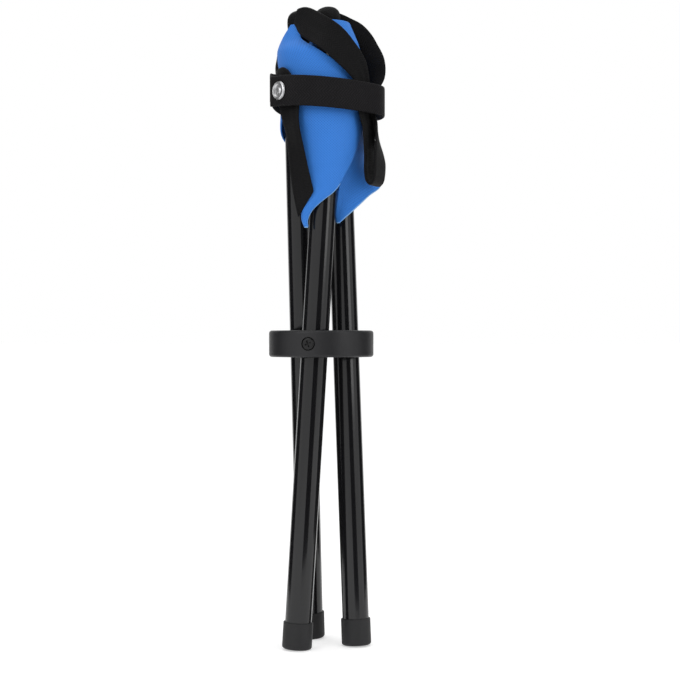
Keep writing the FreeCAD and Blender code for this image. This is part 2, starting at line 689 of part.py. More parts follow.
FLAP_BACK = [(64, 0, 30, 120, 0, 0), (79, 0, 45, 138, 0, 0), (95, 0, 50, 121, 0, 0), (111, 0, 54, 108, 0, 0), (132, 0, 59, 96, 0, 0),
             (146, 0, 61, 88, 0, 0), (163, 0, 60, 74, 0, 0), (176, 0, 64, 69, 0, 0)]
FLAP_FRONT = [(60, 0, 25, 146, 0, 1), (70, 0, 35, 161, 0, 1.8), (79, 0, 45, 174, 0, 2.2), (98, 0, 50, 158, 0, 3), (117, 0, 55, 142, 0, 2),
              (133, 0, 59, 126, 0, 0.5), (146, 0, 61, 111, 0, 0), (155, 0, 61, 92, 0, 0), (163, 0, 61, 77, 0, 0),
              (171, 0, 62, 70, 0, 0), (177, 0, 66.5, 70.5, 0, 0)]


def corner_angle(index):
    spot = leg_axis(index, CLOTH_TOP)
    return math.degrees(math.atan2(spot.x, -spot.y))


def turned(rows, angle):
    return [(d, p, left + angle, right + angle, a, b) for d, p, left, right, a, b in rows]


# Tape rows: angle, drop, stand-off, share of the width, pitch and yaw of the face.
LOOP = [(-50, 3, -10.5, 0.5, 0, 0), (-28, 7.5, -8.5, 0.9, 0, 0), (7, 21, 1.2, 1, 0, 0), (31, 35, 2.5, 1, 0, 0),
        (55, 49, 2.5, 1, 0, 0), (64, 63, 2.8, 1, 0, 0), (66, 80, 3.5, 0.95, 0, 0), (69, 92, 5.3, 0.92, 0, 0),
        (68, 104, 7, 0.9, 0, 0), (66, 118, 8, 0.9, 0, 0), (66, 130, 8, 0.9, 8, 0), (66, 138.5, 9.4, 0.9, 48, 0),
        (66, 142, 12.5, 0.9, 90, 0), (66, 138.5, 15.6, 0.9, 132, 0), (66, 130, 17, 0.9, 172, 0),
        (67, 118, 16.5, 0.9, 180, 0), (73, 104, 13.5, 0.9, 180, 6), (80, 94, 10, 0.85, 180, 14),
        (84, 82, 6.4, 0.76, 180, 22), (86, 67, 6.6, 0.68, 180, 48), (87, 58.5, 6.3, 0.66, 180, 56),
        (88, 49, 8.2, 0.76, 180, 66),
        (87, 38, 8, 0.72, 180, 70), (85.6, 27, 3.5, 0.62, 180, 78), (82.7, 19, -0.5, 0.55, 180, 84),
        (78.5, 12, -6.5, 0.5, 180, 90), (72, 8, -14, 0.48, 180, 95), (66, 4.5, -21, 0.45, 180, 100)]
BACK_LOOP = [(100, 5, -14, 0.5, 0, 0), (113, 10, -8, 0.9, 0, 0)]
BACK_LOOP += [(a + 120, d, off * 0.75 if off > 5 else off, w, p, y / 2) for a, d, off, w, p, y in LOOP[2:-2]]
FRONT_LOOP = [(-140, 5, -14, 0.5, 0, 0), (-128, 11, -7, 0.9, 0, 0), (-122, 24, 2.6, 1, 0, 0), (-112, 40, 3, 1, 0, 0),
              (-96, 54, 0.8, 1, 0, 0), (-76, 60, 0, 1, 0, 0), (-58, 64, 0, 1, 0, 0), (-45, 77, 0, 0.95, 0, 0),
              (-37, 96, 3, 0.85, 0, -20), (-31, 118, 2.6, 0.82, 0, -18), (-26, 138, 1.6, 0.8, 0, -11),
              (-22, 152, 0.5, 0.7, 0, -4), (-20, 161, 0, 0.5, 0, 0)]

ROOM = size("dims.snap_room + dims.strap_thick")
FRONT_RUN = [(96.5, 13), (80, 12.6), (62, 8), (45, 4.5), (25, 2.5), (0, 1.9), (-14, 2.6), (-26, 3.9),
             (-38, flat_run(10, ROOM)), (-43, flat_run(5, ROOM)), (-48, ROOM), (-53, flat_run(5, ROOM)),
             (-58, flat_run(10, ROOM)), (-63.5, flat_run(15.5, ROOM))]
REAR_RUN = [(99.5, 13), (115, 12.5), (135, 9.5), (155, 8.5), (175, 10), (195, 11.8), (212, 11.6), (232, 7.6),
            (250, 4.4), (272, 3), (290, flat_run(22, 0)), (298, flat_run(14, 0)), (305, flat_run(7, 0)),
            (312, 0), (319, flat_run(7, 0)), (325, flat_run(13, 0))]

bodies = [build_hub()]
for leg in range(3):
    bodies += [build_tube(leg), build_foot(leg), build_plug(leg), build_tip(leg)]
    bodies += [build_screw(leg), build_washer(leg), build_nut(leg)]
bodies.append(build_panel())
bodies.append(build_flap(0, turned(FLAP_TOP_SHORT + FLAP_SIDE, corner_angle(0))))
bodies.append(build_flap(1, turned(FLAP_TOP_SHORT + FLAP_BACK, corner_angle(1))))
bodies.append(build_flap(2, turned(FLAP_TOP + FLAP_FRONT, corner_angle(2))))
bodies.append(build_tape("ca", LOOP))
bodies.append(build_tape("ab", BACK_LOOP))
bodies.append(build_tape("bc", FRONT_LOOP))
bodies.append(build_strap("front", FRONT_RUN))
bodies.append(build_strap("rear", REAR_RUN))
bodies += build_snaps()

doc.recompute()
for item in bodies:
    if "Invalid" in item.State or "Error" in item.State or not item.Shape.isValid():
        raise ValueError("%s did not build" % item.Label)
    item.Shape.exportStep("parts/%s.step" % item.Label)
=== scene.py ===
"""Looks of a folded three-legged camping stool: cloth, webbing, materials, light and camera."""
import json
import math

import bpy
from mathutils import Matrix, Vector, noise


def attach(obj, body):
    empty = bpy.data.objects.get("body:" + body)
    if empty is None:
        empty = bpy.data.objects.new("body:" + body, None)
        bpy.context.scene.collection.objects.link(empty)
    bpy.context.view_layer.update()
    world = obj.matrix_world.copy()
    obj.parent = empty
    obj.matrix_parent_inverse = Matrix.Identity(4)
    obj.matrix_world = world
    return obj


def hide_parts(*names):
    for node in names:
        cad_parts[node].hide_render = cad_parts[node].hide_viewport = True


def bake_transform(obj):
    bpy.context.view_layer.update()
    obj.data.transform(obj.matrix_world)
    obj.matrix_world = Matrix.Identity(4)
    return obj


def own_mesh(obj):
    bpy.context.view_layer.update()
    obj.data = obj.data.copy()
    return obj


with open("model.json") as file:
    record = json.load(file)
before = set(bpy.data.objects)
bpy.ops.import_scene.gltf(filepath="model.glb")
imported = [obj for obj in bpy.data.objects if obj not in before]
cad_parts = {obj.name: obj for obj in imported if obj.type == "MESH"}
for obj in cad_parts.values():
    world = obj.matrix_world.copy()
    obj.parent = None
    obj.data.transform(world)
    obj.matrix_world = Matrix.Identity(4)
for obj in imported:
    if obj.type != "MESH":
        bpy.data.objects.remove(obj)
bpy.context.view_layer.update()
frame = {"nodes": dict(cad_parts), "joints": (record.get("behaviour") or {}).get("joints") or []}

# Sizes in millimetres and degrees, heights measured from the middle of the hub.
MM = 0.001
HUB = Vector(next(j for j in frame["joints"] if j["name"] == "leg_a_swing")["pos_m"])
LEGS = "abc"
LEG_ABOVE = 240.0
CLOTH_TOP = 272.0
TUBE_R = 11.0
LEG_CIRCLE = 21.25
FIRST_LEG = -13.6
# Lean of a folded leg towards the middle and round the hub, per millimetre of height.
LEAN_IN = 0.02092
LEAN_ALONG = 0.05591
CLOTH = 1.6
CLOTH_GAP = 1.2
LAYER = 0.9
TAPE_WIDTH = 25.0
TAPE_THICK = 2.0
STRAP_WIDTH = 25.0
STRAP_THICK = 1.6
STRAP_DROP = 65.0
STRAP_FALL = 6.0
STRAP_DRAW = 6.0
STRAP_EASE = 0.25
SNAP_ANGLE = -48.0
SNAP_ROOM = 3.6
TIP_GAP = 0.4
TIP_THICK = 1.8
TIP_R = TUBE_R + TIP_GAP + TIP_THICK
# Each seat corner leans over between two heights above its leg's end.
TIP_LEAN = [Vector((-5.5, 2.0, 0.0)), Vector((-3.0, -5.0, 0.0)), Vector((4.4, -1.2, 0.0))]
TIP_LEAN_FROM = 3.0
TIP_LEAN_TO = 26.0


def around(angle, radius, height):
    """Point by its angle from the front towards the right, radius and height over the hub."""
    a = math.radians(angle)
    return Vector((radius * math.sin(a), -radius * math.cos(a), height))


def leg_axis(index, height):
    """Point of a folded leg's axis at a height over the hub."""
    phi = math.radians(FIRST_LEG + 120.0 * index)
    rho = LEG_CIRCLE - LEAN_IN * height
    tau = LEAN_ALONG * height
    return Vector((rho * math.sin(phi) + tau * math.cos(phi),
                   -rho * math.cos(phi) + tau * math.sin(phi), height))


def wrap(height):
    """Inner radius of the cloth round the three tubes."""
    spot = leg_axis(0, height)
    return math.hypot(spot.x, spot.y) + TUBE_R + CLOTH_GAP


def leg_angle(index, height):
    """Angle of a folded leg's axis round the hub at a height."""
    spot = leg_axis(index, height)
    return math.degrees(math.atan2(spot.x, -spot.y))


def tip_axis(index, height):
    """Middle of a seat corner: on the leg, and leaning to its neighbours above the leg's end."""
    lean = ramp(height - LEG_ABOVE, TIP_LEAN_FROM, TIP_LEAN_TO)
    return leg_axis(index, height) + TIP_LEAN[index] * lean


def smooth(rows, steps):
    """Rows of numbers with extra rows between them on a curve through all of them."""
    finer = []
    for k in range(len(rows) - 1):
        before, start, stop = rows[max(k - 1, 0)], rows[k], rows[k + 1]
        after = rows[min(k + 2, len(rows) - 1)]
        for step in range(steps):
            s = step / steps
            finer.append([
                b + 0.5 * s * (c - a + s * (2 * a - 5 * b + 4 * c - d + s * (3 * (b - c) + d - a)))
                for a, b, c, d in zip(before, start, stop, after)])
    return finer + [list(rows[-1])]


def ramp(value, low, high):
    """Smooth step from 0 at low to 1 at high."""
    s = min(max((value - low) / (high - low), 0.0), 1.0)
    return s * s * (3 - 2 * s)


def ripple(point, scale, seed):
    """Soft noise of about -1 to 1."""
    return noise.noise(Vector((point.x / scale + seed, point.y / scale, point.z / scale)))


def crease(point, form, index):
    """Small folds of cloth, by their height, breadth and seed."""
    height, breadth, seed = form
    return height * ripple(point, breadth, seed + index)


# Materials

# Scales of the noise in the materials, per metre.
TONE_SCALE = 38.0
GLOSS_SCALE = 90.0
WORN_SCALE = 30.0
FUZZ_SCALE = 900.0
WEB_GLOSS_SCALE = 60.0
# Half the width of a chevron in the webbing, in metres.
CHEVRON = 0.0042


def new_material(name, colour, roughness, metallic=0.0, **fixed):
    """Principled material; other inputs go by their names, with _ for a space."""
    mat = bpy.data.materials.new(name)
    mat.use_nodes = True
    tree = mat.node_tree
    bsdf = tree.nodes["Principled BSDF"]
    bsdf.inputs["Base Color"].default_value = (*colour, 1.0)
    bsdf.inputs["Roughness"].default_value = roughness
    bsdf.inputs["Metallic"].default_value = metallic
    for key, value in fixed.items():
        bsdf.inputs[key.replace("_", " ")].default_value = value
    return mat, tree, bsdf


def add_node(tree, kind, inputs=None, **settings):
    """Node with its settings; each input is a value or a socket to link."""
    node = tree.nodes.new(kind)
    for key, value in settings.items():
        setattr(node, key, value)
    for key, value in (inputs or {}).items():
        socket = node.inputs[key]
        if isinstance(value, bpy.types.NodeSocket):
            tree.links.new(value, socket)
        else:
            socket.default_value = value
    return node


def math_node(tree, operation, first, second=0.0):
    return add_node(tree, "ShaderNodeMath", {0: first, 1: second}, operation=operation).outputs[0]


def two_tone(tree, factor, first, second):
    """Colour between two, by a factor."""
    node = add_node(tree, "ShaderNodeMix", data_type="RGBA")
    tree.links.new(factor, node.inputs[0])
    node.inputs[6].default_value = (*first, 1.0)
    node.inputs[7].default_value = (*second, 1.0)
    return node.outputs[2]


def spread(tree, value, low, high):
    """Value of 0 to 1 as low to high."""
    return add_node(tree, "ShaderNodeMapRange", {0: value, 3: low, 4: high}).outputs[0]


def soft_noise(tree, scale, detail=3.0):
    place = add_node(tree, "ShaderNodeTexCoord").outputs["Object"]
    inputs = {"Vector": place, "Scale": scale, "Detail": detail}
    return add_node(tree, "ShaderNodeTexNoise", inputs).outputs[0]


def bump(tree, bsdf, height, strength, distance):
    node = add_node(tree, "ShaderNodeBump", {"Strength": strength, "Distance": distance, "Height": height})
    tree.links.new(node.outputs[0], bsdf.inputs["Normal"])


def grained(name, dark, light, rough, scale, depth, metallic=0.0, **fixed):
    """Moulded, painted or rubbed surface: uneven colour, uneven gloss and a fine grain."""
    mat, tree, bsdf = new_material(name, dark, rough[0], metallic, **fixed)
    broad = soft_noise(tree, TONE_SCALE)
    tree.links.new(two_tone(tree, broad, dark, light), bsdf.inputs["Base Color"])
    tree.links.new(spread(tree, soft_noise(tree, GLOSS_SCALE), *rough), bsdf.inputs["Roughness"])
    bump(tree, bsdf, soft_noise(tree, scale, 4.0), 0.5, depth)
    return mat


def cut_measure(tree):
    """The cloth's own measure across and along its cut, in metres."""
    place = add_node(tree, "ShaderNodeUVMap", uv_map="cut").outputs[0]
    return add_node(tree, "ShaderNodeSeparateXYZ", {0: place}).outputs


def weave(tree, pitch):
    """Plain weave from the cloth's own measure: 1 on the threads, down to 0.5 in the holes between them."""
    measure = cut_measure(tree)
    waves = [math_node(tree, "MULTIPLY", measure[k], 2 * math.pi / pitch) for k in (0, 1)]
    across, along = [math_node(tree, "SINE", wave) for wave in waves]
    crossed = math_node(tree, "MULTIPLY", across, along)
    return add_node(tree, "ShaderNodeMapRange", {0: crossed, 1: -1.0, 2: 0.0, 3: 0.5, 4: 1.0}).outputs[0]


def cloth_material(name, hole, thread, pale, pitch):
    """Plain-woven cloth, paler where it is worn."""
    mat, tree, bsdf = new_material(name, thread, 0.72, 0.0, Sheen_Weight=0.06, Sheen_Roughness=0.5,
                                   Specular_IOR_Level=0.2)
    woven = weave(tree, pitch)
    base = two_tone(tree, woven, hole, thread)
    worn = add_node(tree, "ShaderNodeMix", data_type="RGBA")
    tree.links.new(spread(tree, soft_noise(tree, WORN_SCALE), 0.0, 0.35), worn.inputs[0])
    tree.links.new(base, worn.inputs[6])
    worn.inputs[7].default_value = (*pale, 1.0)
    tree.links.new(worn.outputs[2], bsdf.inputs["Base Color"])
    tree.links.new(spread(tree, woven, 0.82, 0.62), bsdf.inputs["Roughness"])
    bump(tree, bsdf, woven, 0.7, 0.0004)
    return mat


def webbing_material(name, hole, thread, pitch):
    """Black webbing: slanted ribs that meet in chevrons, crossed by the weft."""
    mat, tree, bsdf = new_material(name, thread, 0.7, 0.0, Sheen_Weight=0.03, Sheen_Roughness=0.45,
                                   Specular_IOR_Level=0.15)
    measure = cut_measure(tree)
    zigzag = math_node(tree, "PINGPONG", measure[0], CHEVRON)
    slant = math_node(tree, "ADD", zigzag, measure[1])
    ribs = math_node(tree, "SINE", math_node(tree, "MULTIPLY", slant, 2 * math.pi / pitch))
    ribs = add_node(tree, "ShaderNodeMapRange", {0: ribs, 1: -1.0, 2: 1.0, 3: 0.0, 4: 1.0}).outputs[0]
    mixed = math_node(tree, "MULTIPLY", ribs, soft_noise(tree, FUZZ_SCALE, 2.0))
    tree.links.new(two_tone(tree, mixed, hole, thread), bsdf.inputs["Base Color"])
    tree.links.new(spread(tree, soft_noise(tree, WEB_GLOSS_SCALE), 0.6, 0.85), bsdf.inputs["Roughness"])
    bump(tree, bsdf, ribs, 0.6, 0.0003)
    return mat


ENAMEL = grained("black_enamel", (0.006, 0.006, 0.007), (0.009, 0.009, 0.01), (0.1, 0.16), 420.0, 0.00003,
                 Specular_IOR_Level=0.42)
PLASTIC = grained("moulded_black", (0.012, 0.012, 0.013), (0.019, 0.019, 0.021), (0.4, 0.52), 1500.0, 0.00008,
                  Specular_IOR_Level=0.3)
RUBBER = grained("rubber_black", (0.01, 0.01, 0.011), (0.016, 0.016, 0.017), (0.5, 0.66), 900.0, 0.0001,
                 Specular_IOR_Level=0.35)
BLACKED = grained("blacked_steel", (0.008, 0.008, 0.009), (0.018, 0.018, 0.018), (0.3, 0.45), 700.0, 0.00004,
                  metallic=0.6)
ZINC = grained("zinc_steel", (0.45, 0.46, 0.47), (0.62, 0.63, 0.64), (0.28, 0.42), 600.0, 0.00003,
               metallic=1.0)
BRIGHT = grained("bright_snap", (0.5, 0.5, 0.52), (0.62, 0.62, 0.63), (0.34, 0.44), 500.0, 0.00002,
                 metallic=1.0)
BLUE = cloth_material("blue_cloth", (0.009, 0.066, 0.31), (0.042, 0.228, 0.75), (0.05, 0.23, 0.7), 0.0022)
# The hem bead's paler blue is a painted highlight: the light line along the cloth's rolled edge.
HEM_HIGHLIGHT = cloth_material("blue_hem_highlight", (0.12, 0.33, 0.72), (0.25, 0.5, 0.87), (0.3, 0.55, 0.88), 0.0009)
BLACK_WEB = webbing_material("black_webbing", (0.0015, 0.0015, 0.0018), (0.009, 0.0085, 0.0095), 0.0022)
BLACK_STRAP = webbing_material("black_strap", (0.0025, 0.0024, 0.0028), (0.019, 0.017, 0.02), 0.0024)


# Meshes

# A direction that no bead runs along.
BEAD_ASIDE = Vector((0.31, 0.17, 0.93))


def make_object(name, verts, faces, uvs, mats, face_mats=None, round_off=1):
    """Mesh from points in millimetres from the hub, with its own measure as UVs in metres."""
    mesh = bpy.data.meshes.new(name)
    mesh.from_pydata([HUB + Vector(v) * MM for v in verts], [], faces)
    layer = mesh.uv_layers.new(name="cut")
    for loop in mesh.loops:
        u, v = uvs[loop.vertex_index]
        layer.data[loop.index].uv = (u * MM, v * MM)
    for mat in mats:
        mesh.materials.append(mat)
    for k, poly in enumerate(mesh.polygons):
        poly.use_smooth = True
        if face_mats:
            poly.material_index = face_mats[k]
    obj = bpy.data.objects.new(name, mesh)
    bpy.context.scene.collection.objects.link(obj)
    if round_off:
        finer = obj.modifiers.new("finer", "SUBSURF")
        finer.levels = round_off
        finer.render_levels = round_off
        bpy.context.view_layer.update()
        shape = bpy.data.meshes.new_from_object(obj.evaluated_get(bpy.context.evaluated_depsgraph_get()))
        obj.modifiers.clear()
        obj.data = shape
    return obj


def grid_normals(grid):
    """Normal of a grid's surface at each of its points."""
    rows, cols = len(grid), len(grid[0])
    normals = []
    for r in range(rows):
        line = []
        for c in range(cols):
            down = grid[min(r + 1, rows - 1)][c] - grid[max(r - 1, 0)][c]
            side = grid[r][min(c + 1, cols - 1)] - grid[r][max(c - 1, 0)]
            line.append(side.cross(down).normalized())
        normals.append(line)
    return normals


def grid_measure(grid):
    """Each point's distance along its row from the middle column and down its column."""
    rows, cols = len(grid), len(grid[0])
    mid = cols // 2
    uvs = []
    fall = [0.0] * cols
    for r in range(rows):
        along = [0.0] * cols
        for c in range(mid + 1, cols):
            along[c] = along[c - 1] + (grid[r][c] - grid[r][c - 1]).length
        for c in range(mid - 1, -1, -1):
            along[c] = along[c + 1] - (grid[r][c + 1] - grid[r][c]).length
        if r:
            fall = [f + (grid[r][c] - grid[r - 1][c]).length for c, f in enumerate(fall)]
        uvs.append([(along[c], fall[c]) for c in range(cols)])
    return uvs


def sheet_parts(grid, thick, outward, measure=None):
    """Closed thin shell about a grid of middle points; outward is 1 or -1 for the grid's winding."""
    normals = grid_normals(grid)
    sides = []
    for side in (0.5, -0.5):
        off = thick * side * outward
        sides.append([[p + n * off for p, n in zip(*line)] for line in zip(grid, normals)])
    return shell_parts(*sides, measure or grid_measure(grid), outward)


def shell_parts(outer, inner, measure, outward):
    """Closed shell between two grids of the same count, with the grid's measure as UVs."""
    rows, cols = len(outer), len(outer[0])
    verts = [p for side in (outer, inner) for line in side for p in line]
    uvs = [uv for line in measure for uv in line] * 2
    faces = []
    lower = rows * cols

    def at(r, c):
        return r * cols + c

    for r in range(rows - 1):
        for c in range(cols - 1):
            quad = [at(r, c), at(r + 1, c), at(r + 1, c + 1), at(r, c + 1)]
            if outward < 0:
                quad.reverse()
            faces.append(quad[::-1])
            faces.append([lower + q for q in quad])
    rim = [at(0, c) for c in range(cols)] + [at(r, cols - 1) for r in range(1, rows)]
    rim += [at(rows - 1, c) for c in range(cols - 2, -1, -1)] + [at(r, 0) for r in range(rows - 2, 0, -1)]
    for a, b in zip(rim, rim[1:] + rim[:1]):
        quad = [a, b, lower + b, lower + a]
        faces.append(quad if outward < 0 else quad[::-1])
    return verts, faces, uvs


def cut_size(grid):
    """Width, length and area in metres of the flat cut that a grid was draped from."""
    measure = grid_measure(grid)
    width = max(line[-1][0] - line[0][0] for line in measure)
    length = max(line[1] for line in measure[-1])
    area = 0.0
    for one, two in zip(grid, grid[1:]):
        for c in range(len(one) - 1):
            area += ((two[c + 1] - one[c]).cross(two[c] - one[c + 1])).length / 2
    return (width * MM, length * MM), area * MM * MM


def bead_parts(line, radius, sides=6):
    """Round bead along a line of points."""
    verts, faces, uvs = [], [], []
    run = 0.0
    for k, p in enumerate(line):
        ahead = (line[min(k + 1, len(line) - 1)] - line[max(k - 1, 0)]).normalized()
        one = ahead.cross(BEAD_ASIDE).normalized()
        two = ahead.cross(one)
        run += (p - line[k - 1]).length if k else 0.0
        for s in range(sides):
            a = 2 * math.pi * s / sides
            verts.append(p + (one * math.cos(a) + two * math.sin(a)) * radius)
            uvs.append((radius * a, run))
    for k in range(len(line) - 1):
        for s in range(sides):
            t = (s + 1) % sides
            faces.append([k * sides + s, k * sides + t, (k + 1) * sides + t, (k + 1) * sides + s])
    faces.append(list(range(sides))[::-1])
    faces.append([(len(line) - 1) * sides + s for s in range(sides)])
    return verts, faces, uvs


def joined(*parts):
    """Several (verts, faces, uvs) as one, with each part's place in the material list."""
    verts, faces, uvs, marks = [], [], [], []
    for mark, (v, f, u) in enumerate(parts):
        base = len(verts)
        verts += v
        uvs += u
        faces += [[base + i for i in face] for face in f]
        marks += [mark] * len(f)
    return verts, faces, uvs, marks


# Seat corners

# Flap rows: drop from the seat corners, pull towards the leg, left and right angle, left and right swell.
FLAP_TOP = [(8.5, 1, 56, 84, -1.4, -1.4), (21, 0.75, 16, 86, -1.2, 0), (30, 0.35, -12, 92, 1.4, 4.5),
            (38, 0.15, -4, 106, 1.5, 3.5), (50, 0, 15, 131, 0, 0)]
FLAP_TOP_SHORT = [(8, 0.8, -20, 62, 0, 0), (20, 0.5, -20, 52, 0, 0), (30, 0.3, -18, 44, 1.8, 1.8),
                  (50, 0, 15, 100, 0, 0)]
FLAP_SIDE = [(60, 0, 31, 113, 0, 0), (70, 0, 47, 127, 0, 0), (79, 0, 58, 140, 0, 0), (98, 0, 42, 118, 1, 2),
             (112, 0, 27, 96, -1, 5), (127, 0, 18, 74, -7, 11), (139, 0, 14, 65, -11, 17),
             (149, 0, 12, 50, -12.5, 7), (157, 0, 11, 38, -13.5, 1), (165, 0, 11, 25, -14, -5),
             (172, 0, 12.5, 15.5, -14, -12)]
FLAP_BACK = [(64, 0, 30, 120, 0, 0), (79, 0, 45, 138, 0, 0), (95, 0, 50, 121, 0, 0), (104, 0, 51, 100, 0, -2),
             (111, 0, 53, 90, 0, -4), (132, 0, 57, 82, 0, -4), (146, 0, 60, 79, 0, -3),
             (163, 0, 60, 72, 0, 0), (176, 0, 64, 69, 0, 0)]
FLAP_FRONT = [(60, 0, 25, 146, 0, 1), (70, 0, 35, 161, 0, 1.8), (79, 0, 45, 174, 0, 2.2),
              (98, 0, 50, 158, 0, 3), (117, 0, 55, 142, 0, 2), (133, 0, 59, 126, 0, 0.5),
              (146, 0, 61, 111, 0, 0), (155, 0, 61, 92, 0, 0), (163, 0, 61, 77, 0, 0),
              (171, 0, 62, 70, 0, 0), (177, 0, 66.5, 70.5, 0, 0)]
FLAP_ROWS = (FLAP_TOP_SHORT + FLAP_SIDE, FLAP_TOP_SHORT + FLAP_BACK, FLAP_TOP + FLAP_FRONT)
FLAP_THICK = 1.3
# The hem is a bead along the flap's right edge from this drop on, and along its lower edge; its paler blue is
# a painted highlight along the cloth's edge.
HEM_R = 0.75
HEM_FROM = 140.0
# The cloth hangs free between its edges below the strap, and its creases grow from the corner down.
# A crease is given by its height, breadth and seed.
SLACK = 1.6
FREE_FROM, FREE_TO = 80.0, 105.0
FREE_SHAPE = 0.8
CREASE_FROM, CREASE_TO = 14.0, 40.0
HELD_SHARE = 0.35
BROAD_CREASE = (0.9, 26.0, 3.0)
SMALL_CREASE = (0.45, 11.0, 9.0)


def flap_grid(index, rows, columns=31, steps=7):
    """Middle surface of a pocket flap with the cloth's slack and creases, and its threads' measure."""
    turn = leg_angle(index, CLOTH_TOP)
    grid, measure = [], []
    for drop, pull, left, right, swell_left, swell_right in smooth(rows, steps):
        height = CLOTH_TOP - drop
        leg = tip_axis(index, height)
        centre = Vector((leg.x * pull, leg.y * pull, 0.0))
        inner = (1 - pull) * wrap(height) + pull * (TIP_R + LAYER)
        line, threads = [], []
        for c in range(columns):
            s = c / (columns - 1)
            angle = left + (right - left) * s + turn
            radius = inner + swell_left + (swell_right - swell_left) * s * s + CLOTH / 2
            free = ramp(drop, FREE_FROM, FREE_TO) * math.sin(math.pi * s) ** FREE_SHAPE
            spot = centre + around(angle, radius, height)
            fold = crease(spot, BROAD_CREASE, index) + crease(spot, SMALL_CREASE, index)
            fold *= ramp(drop, CREASE_FROM, CREASE_TO) * (HELD_SHARE + (1 - HELD_SHARE) * free)
            lift = SLACK * free + fold
            line.append(centre + around(angle, radius + lift, height))
            threads.append((math.radians(angle) * inner, drop))
        grid.append(line)
        measure.append(threads)
    return grid, measure


LEG_SWING = math.radians(36.0)


def leg_lead(index):
    """Direction in which a leg's upper end swings out."""
    phi = math.radians(FIRST_LEG + 120.0 * index)
    return Vector((math.cos(phi), math.sin(phi), 0.0))


def spread_out(obj):
    """Gives a corner's cloth its own copy of its mesh."""
    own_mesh(obj)


def draw_up(obj):
    """Gives a binding band its own copy of its mesh."""
    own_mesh(obj)


for index, rows in enumerate(FLAP_ROWS):
    grid, measure = flap_grid(index, rows)
    hem = [row[-1] for row in grid if row[-1].z < CLOTH_TOP - HEM_FROM] + list(reversed(grid[-1][:-1]))
    # The hem bead takes the paler blue, a painted highlight along the flap's edge.
    parts = joined(sheet_parts(grid, FLAP_THICK, 1, measure), bead_parts(hem, HEM_R))
    obj = make_object("pocket_cloth_" + LEGS[index], *parts[:3], [BLUE, HEM_HIGHLIGHT], parts[3])
    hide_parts("pocket_flap_" + LEGS[index])
    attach(obj, "leg_" + LEGS[index])
    spread_out(obj)
    flat, area = cut_size(grid)


# End pocket rows: share of the radius on the leg, rise over the leg's end.
TIP_ROWS = [(0.98, -2.5), (1, -2.4), (1.02, -2), (1.02, -1), (1, 0), (1, 1.5), (0.92, 5.5), (0.78, 9.5),
            (0.71, 13.5), (0.72, 18), (0.79, 22.5), (0.83, 26), (0.81, 30), (0.71, 33.4), (0.52, 35.6),
            (0.28, 36.8), (0.1, 37.1), (0, 37.15)]
TIP_SMALL_CREASE = (0.3, 7.0, 20.0)
TIP_BROAD_CREASE = (1.0, 10.0, 31.0)
TIP_CREASE_FROM, TIP_CREASE_TO = 3.0, 12.0
# The creases fade out where the pocket closes, below this share of its radius.
TIP_CLOSING = 0.5


def tip_parts(index, around_steps=44):
    """Black bound corner of the seat: a sleeve on the leg's end that closes in a hump of folded cloth."""
    verts, faces, uvs = [], [], []
    for share, rise in smooth(TIP_ROWS, 2):
        centre = tip_axis(index, LEG_ABOVE + rise)
        for k in range(around_steps):
            turn = 360.0 * k / around_steps
            lead = around(turn, 1.0, 0.0)
            spot = centre + lead * (TIP_R * share)
            broad = ramp(rise, TIP_CREASE_FROM, TIP_CREASE_TO) * crease(spot, TIP_BROAD_CREASE, index)
            fold = crease(spot, TIP_SMALL_CREASE, index) + broad
            verts.append(spot + lead * (fold * ramp(share, 0.0, TIP_CLOSING)))
            uvs.append((TIP_R * math.radians(turn), rise))
    for r in range(len(verts) // around_steps - 1):
        for k in range(around_steps):
            m = (k + 1) % around_steps
            faces.append([r * around_steps + k, r * around_steps + m,
                          (r + 1) * around_steps + m, (r + 1) * around_steps + k])
    return verts, faces, uvs


for index in range(3):
    obj = make_object("end_pocket_" + LEGS[index], *tip_parts(index), [BLACK_WEB])
    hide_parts("corner_tip_" + LEGS[index])
    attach(obj, "leg_" + LEGS[index])
    spread_out(obj)


# Middle of the seat

# The open seat: a shallow dish with three corners and three hollow edges.
OPEN_HEIGHT = 180.0
OPEN_RISE = 15.0
OPEN_CORNER = 152.0
CORNER_HALF = 9.0
EDGE_OUT = 46.8
EDGE_HALF = EDGE_OUT * math.tan(math.radians(30.0))
BORDER = 6.0
EDGE_SWING = math.radians(12.0)
LEG_REACH = 15.2
EDGE_REACH = 11.3
SEAT_THICK = 1.2
SECTOR_START = 0.01
CORNER_ROWS = 56
EDGE_ROWS = 18
HALVINGS = 40


def folded_spot(spot, lead, swing, reach):
    """Folded place of a point of the open seat that swings towards lead, more the further out it lies."""
    out = spot.dot(lead)
    radius, tilt = math.hypot(out, spot.z), math.atan2(out, spot.z)
    low, high = 0.0, 1.0
    for _ in range(HALVINGS):
        share = (low + high) / 2
        back = radius * math.sin(tilt - share * swing)
        if ramp(back, 0.0, reach) > share:
            low = share
        else:
            high = share
    angle = tilt - low * swing
    aside = Vector((spot.x, spot.y, 0.0)) - lead * out
    return aside + lead * (radius * math.sin(angle)) + Vector((0.0, 0.0, radius * math.cos(angle)))


def seat_half(out, far):
    """Half the width of a sector of the seat at a distance from the middle."""
    if out <= EDGE_OUT:
        return out * EDGE_HALF / EDGE_OUT
    return CORNER_HALF + (EDGE_HALF - CORNER_HALF) * ((far - out) / (far - EDGE_OUT)) ** 2


def edge_room(out, side, far):
    """Distance of a sector's point from the seat's bound edge."""
    if far == EDGE_OUT:
        return far - out
    if out > EDGE_OUT:
        return seat_half(out, far) - side
    return BORDER


